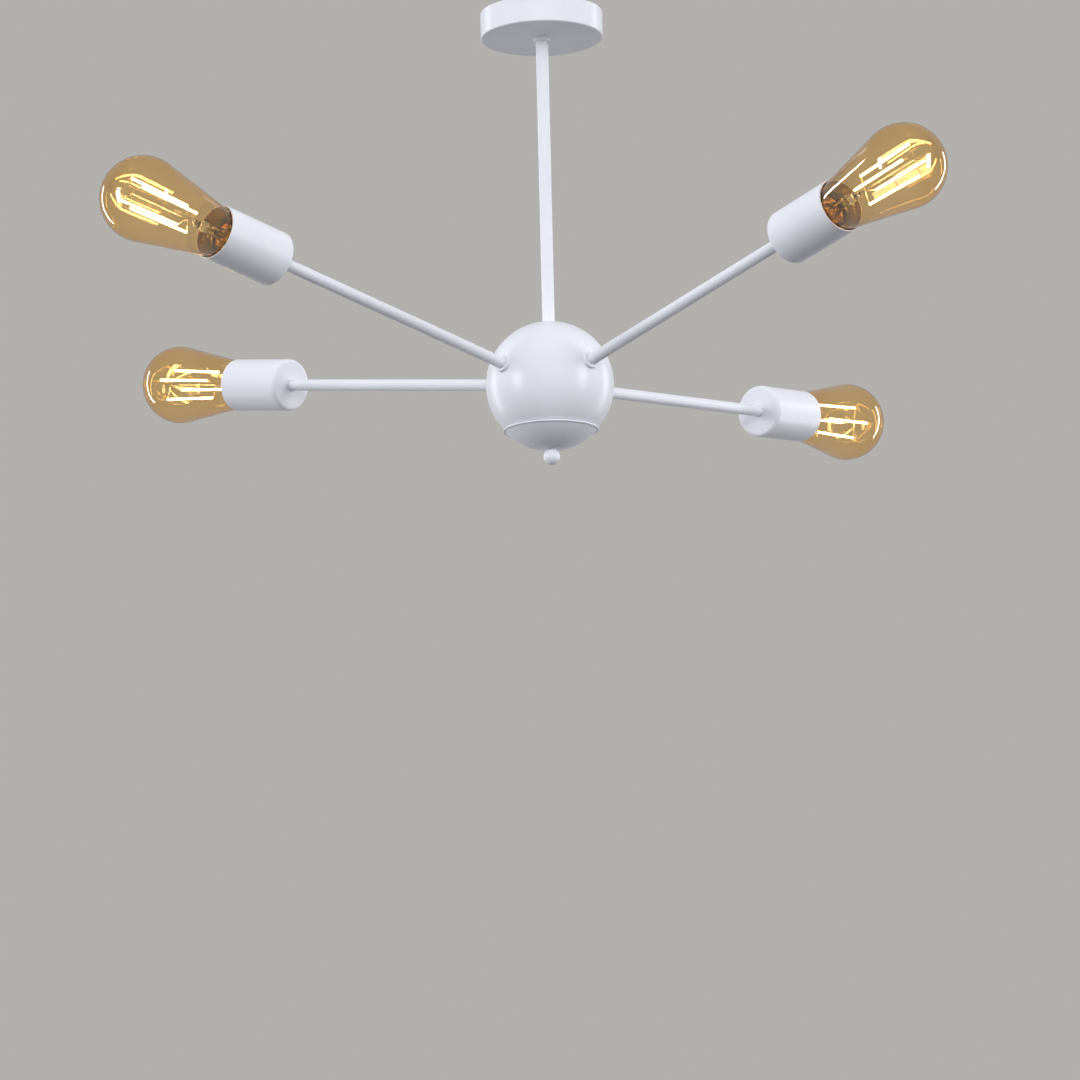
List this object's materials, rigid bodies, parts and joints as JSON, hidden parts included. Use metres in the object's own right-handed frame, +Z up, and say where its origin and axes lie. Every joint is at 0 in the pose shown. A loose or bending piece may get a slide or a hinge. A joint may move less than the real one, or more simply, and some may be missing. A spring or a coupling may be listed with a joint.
{
  "type": "sputnik chandelier",
  "caption": "Ceiling light with a round canopy, a straight stem and a ball hub whose upward-tilted arms carry covered lampholders with tinted filament bulbs.",
  "frame": {"origin": "middle of the ceiling bracket's top face, midway between its two slots, on the ceiling plane", "axes": "+Z up into the ceiling; -Y towards the picture's camera, +X to its right"},
  "size_m": [0.6456, 0.7201, 0.3738],
  "materials": {
    "white_coat": "satin powder coat",
    "plated_steel": "zinc plated",
    "terminal_plastic": "matt",
    "lead_insulation": "smooth, flexible",
    "holder_brass": "bright",
    "holder_plastic": "moulded, matt",
    "cap_brass": "bright",
    "black_glass": "fused black glass",
    "amber_glass": "clear amber tint",
    "clear_glass": "clear",
    "filament": "phosphor coated, lit",
    "support_wire": "drawn wire"
  },
  "bodies": {
    "fixture": {"stem_tube": "white_coat", "hub_shell": "white_coat", "arm_rings": "white_coat", "arm_tube_front_left": "white_coat", "socket_cover_front_left": "white_coat", "arm_tube_front_right": "white_coat", "socket_cover_front_right": "white_coat", "arm_tube_back_right": "white_coat", "socket_cover_back_right": "white_coat", "arm_tube_back_left": "white_coat", "socket_cover_back_left": "white_coat", "mounting_bracket": "plated_steel", "bracket_nuts": "plated_steel", "hub_bridge": "plated_steel", "hub_stem_nut": "plated_steel", "finial_rod": "plated_steel", "rod_nuts": "plated_steel", "arm_nuts": "plated_steel", "cover_nuts": "plated_steel", "terminal_screws": "plated_steel", "terminal_block": "terminal_plastic", "hub_terminal": "terminal_plastic", "stem_leads": "lead_insulation", "arm_leads": "lead_insulation", "screw_shells": "holder_brass", "lampholder_contacts": "holder_brass", "lampholder_front_left": "holder_plastic", "lampholder_front_right": "holder_plastic", "lampholder_back_right": "holder_plastic", "lampholder_back_left": "holder_plastic"},
    "canopy": {"canopy": "white_coat"},
    "collar": {"canopy_collar": "white_coat", "collar_setscrew": "plated_steel"},
    "hub_cap": {"hub_cap": "white_coat"},
    "finial": {"cap_finial": "white_coat"},
    "bulb_front_left": {"bulb_cap_front_left": "cap_brass", "bulb_contact_front_left": "black_glass", "bulb_glass_front_left": "amber_glass", "bulb_mount_front_left": "clear_glass", "bulb_filaments_front_left": "filament", "bulb_supports_front_left": "support_wire"},
    "bulb_front_right": {"bulb_cap_front_right": "cap_brass", "bulb_contact_front_right": "black_glass", "bulb_glass_front_right": "amber_glass", "bulb_mount_front_right": "clear_glass", "bulb_filaments_front_right": "filament", "bulb_supports_front_right": "support_wire"},
    "bulb_back_right": {"bulb_cap_back_right": "cap_brass", "bulb_contact_back_right": "black_glass", "bulb_glass_back_right": "amber_glass", "bulb_mount_back_right": "clear_glass", "bulb_filaments_back_right": "filament", "bulb_supports_back_right": "support_wire"},
    "bulb_back_left": {"bulb_cap_back_left": "cap_brass", "bulb_contact_back_left": "black_glass", "bulb_glass_back_left": "amber_glass", "bulb_mount_back_left": "clear_glass", "bulb_filaments_back_left": "filament", "bulb_supports_back_left": "support_wire"}
  },
  "joints": [
    {"name": "canopy_slide", "type": "slide", "parent": "fixture", "child": "canopy", "axis": [0, 0, -1], "range_m": [0, 0.23]},
    {"name": "collar_slide", "type": "slide", "parent": "fixture", "child": "collar", "axis": [0, 0, -1], "range_m": [0, 0.23]},
    {"name": "hub_cap_lower", "type": "slide", "parent": "fixture", "child": "hub_cap", "axis": [0, 0, -1], "range_m": [0, 0.06]},
    {"name": "finial_lower", "type": "slide", "parent": "fixture", "child": "finial", "axis": [0, 0, -1], "range_m": [0, 0.06]},
    {"name": "bulb_front_left_out", "type": "slide", "parent": "fixture", "child": "bulb_front_left", "axis": [-0.7101, -0.6763, 0.1959], "range_m": [0, 0.045]},
    {"name": "bulb_front_right_out", "type": "slide", "parent": "fixture", "child": "bulb_front_right", "axis": [0.627, -0.7526, 0.2011], "range_m": [0, 0.045]},
    {"name": "bulb_back_right_out", "type": "slide", "parent": "fixture", "child": "bulb_back_right", "axis": [0.6019, 0.793, 0.0941], "range_m": [0, 0.045]},
    {"name": "bulb_back_left_out", "type": "slide", "parent": "fixture", "child": "bulb_back_left", "axis": [-0.7426, 0.6478, 0.1702], "range_m": [0, 0.045]}
  ],
  "couplings": [
    {"joint": "collar_slide", "follows": "canopy_slide", "ratio": 1},
    {"joint": "finial_lower", "follows": "hub_cap_lower", "ratio": 1}
  ]
}
